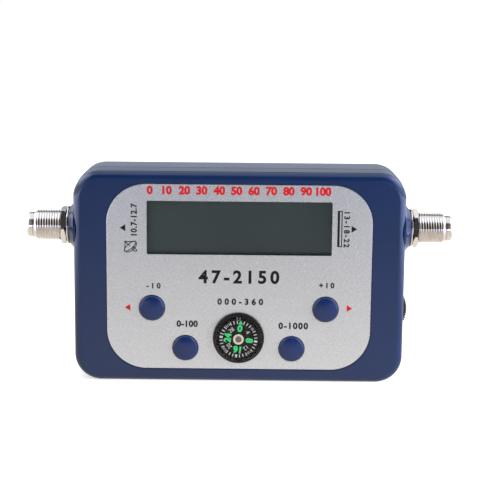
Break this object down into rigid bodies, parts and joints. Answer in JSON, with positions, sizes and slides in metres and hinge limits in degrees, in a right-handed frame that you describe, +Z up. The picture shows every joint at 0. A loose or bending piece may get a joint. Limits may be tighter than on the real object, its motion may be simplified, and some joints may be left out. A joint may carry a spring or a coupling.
{
  "type": "satellite signal meter",
  "caption": "Pocket meter for a coaxial line: moulded box with a display window, round push buttons, a button compass, a side thumbwheel and a threaded jack at each end",
  "frame": {"origin": "middle of the bottom edge's flat, where the meter stands on a table, half way through its depth", "axes": "+X to the right of the display, from one jack to the other; the front face looks towards -Y; +Z up"},
  "size_m": [0.1314, 0.0261, 0.0658],
  "materials": {
    "housing": "dark blue moulded plastic, fine satin",
    "button": "dark blue moulded plastic, satin",
    "panel": "silver-grey printed sheet",
    "window": "clear polished plastic",
    "display": "unlit grey-green liquid-crystal cell",
    "light_guide": "white light guide",
    "contact_strip": "elastomer contact strip",
    "board": "glass-fibre board with green mask",
    "black_moulding": "black moulded plastic",
    "pale_moulding": "off-white moulded plastic",
    "compass_shell": "black moulded plastic, satin",
    "lens": "clear polished plastic",
    "card": "black printed card",
    "magnet": "sintered magnet",
    "wheel": "black moulded plastic with a toothed rim",
    "nickel": "nickel-plated brass",
    "brass": "gold-flashed contact",
    "steel": "zinc-plated steel",
    "tinplate": "tin-plated steel sheet",
    "can": "drawn aluminium can",
    "ferrite": "ferrite core, wound and varnished"
  },
  "bodies": {
    "housing": {"front_cover": "housing", "rear_cover": "housing", "panel_overlay": "panel", "display_window": "window", "display_glass": "display", "display_frame": "black_moulding", "display_backlight": "light_guide", "display_contact_strip": "contact_strip", "main_board": "board", "attenuator_down_switch": "black_moulding", "attenuator_up_switch": "black_moulding", "light_switch": "black_moulding", "buzzer_switch": "black_moulding", "compass_housing": "compass_shell", "compass_lens": "lens", "compass_pivot": "steel", "thumbwheel_base": "black_moulding", "connector_body_left": "nickel", "connector_body_right": "nickel", "connector_nut_left": "nickel", "connector_nut_right": "nickel", "connector_washer_left": "nickel", "connector_washer_right": "nickel", "connector_insulator_left": "pale_moulding", "connector_insulator_right": "pale_moulding", "connector_contact_left": "brass", "connector_contact_right": "brass", "tuner_shield": "tinplate", "control_chip": "black_moulding", "voltage_regulator": "black_moulding", "filter_capacitor": "can", "crystal": "tinplate", "choke": "ferrite", "buzzer": "black_moulding", "cover_screw_1": "steel", "cover_screw_2": "steel", "cover_screw_3": "steel", "cover_screw_4": "steel", "board_screw_1": "steel", "board_screw_2": "steel", "board_screw_3": "steel", "board_screw_4": "steel"},
    "attenuator_down": {"attenuator_down_button": "button", "attenuator_down_plunger": "pale_moulding"},
    "attenuator_up": {"attenuator_up_button": "button", "attenuator_up_plunger": "pale_moulding"},
    "light": {"light_button": "button", "light_plunger": "pale_moulding"},
    "buzzer_key": {"buzzer_button": "button", "buzzer_plunger": "pale_moulding"},
    "compass_card": {"compass_card": "card", "compass_magnet": "magnet", "compass_cap": "nickel"},
    "thumbwheel": {"thumbwheel": "wheel", "thumbwheel_screw": "steel"}
  },
  "joints": [
    {"name": "attenuator_down_press", "type": "slide", "parent": "housing", "child": "attenuator_down", "axis": [0, 1, 0], "range_m": [0, 0.0004], "stiffness_N_per_m": 1200, "springref_m": -0.0004},
    {"name": "attenuator_up_press", "type": "slide", "parent": "housing", "child": "attenuator_up", "axis": [0, 1, 0], "range_m": [0, 0.0004], "stiffness_N_per_m": 1200, "springref_m": -0.0004},
    {"name": "light_press", "type": "slide", "parent": "housing", "child": "light", "axis": [0, 1, 0], "range_m": [0, 0.0004], "stiffness_N_per_m": 1200, "springref_m": -0.0004},
    {"name": "buzzer_press", "type": "slide", "parent": "housing", "child": "buzzer_key", "axis": [0, 1, 0], "range_m": [0, 0.0004], "stiffness_N_per_m": 1200, "springref_m": -0.0004},
    {"name": "compass_turn", "type": "hinge", "parent": "housing", "child": "compass_card", "pos_m": [0, -0.0119, 0.01365], "axis": [0, 1, 0], "continuous": true},
    {"name": "thumbwheel_turn", "type": "hinge", "parent": "housing", "child": "thumbwheel", "pos_m": [0.044, -0.0006, 0.0208], "axis": [0, 1, 0], "range_deg": [-150, 150]}
  ]
}
